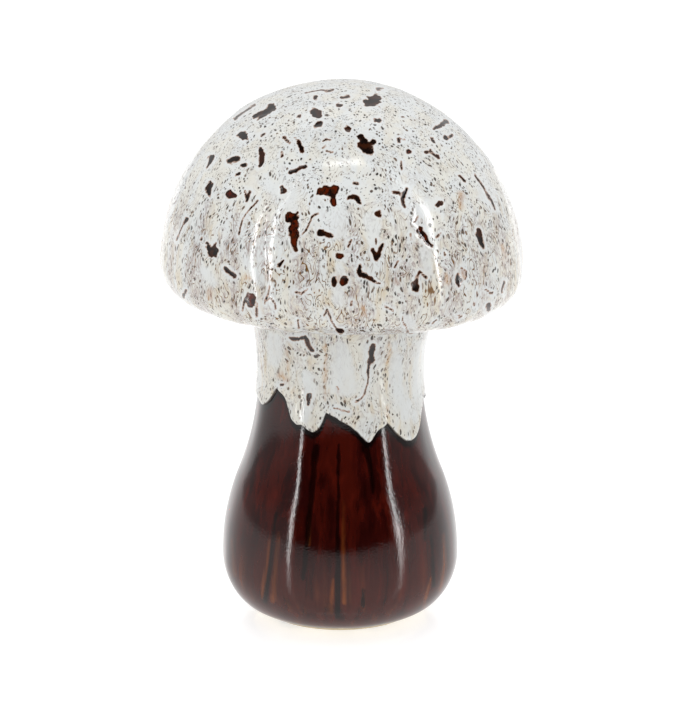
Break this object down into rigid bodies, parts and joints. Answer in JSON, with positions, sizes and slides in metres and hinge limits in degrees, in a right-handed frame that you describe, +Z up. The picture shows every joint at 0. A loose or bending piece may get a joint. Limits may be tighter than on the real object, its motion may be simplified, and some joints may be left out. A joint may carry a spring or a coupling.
{
  "type": "ceramic mushroom ornament",
  "caption": "Free-standing glazed ceramic mushroom: a domed cap with a rolled rim on a waisted, pear-shaped stem, white glaze running down over brown, on stick-on pads.",
  "frame": {"origin": "middle of the footprint on the table, under the stem's axis, level with the undersides of the pads", "axes": "+Z up along the stem's axis towards the crown of the cap, -Y towards the front seen in the picture, +X to the right of that front"},
  "size_m": [0.134, 0.134, 0.203],
  "materials": {
    "bare_clay": "matt, unglazed cream clay",
    "brown_glaze": "glossy dark red-brown with amber where it runs thin",
    "white_glaze": "glossy off-white reactive glaze with brown specks, blotches and runs",
    "pad": "matt black"
  },
  "bodies": {
    "root": {"stem_body": "bare_clay", "cap_body": "bare_clay", "luting_seam": "bare_clay", "brown_glaze": "brown_glaze", "white_glaze": "white_glaze", "foot_pad_front_left": "pad", "foot_pad_front_right": "pad", "foot_pad_back_right": "pad", "foot_pad_back_left": "pad"}
  },
  "joints": []
}
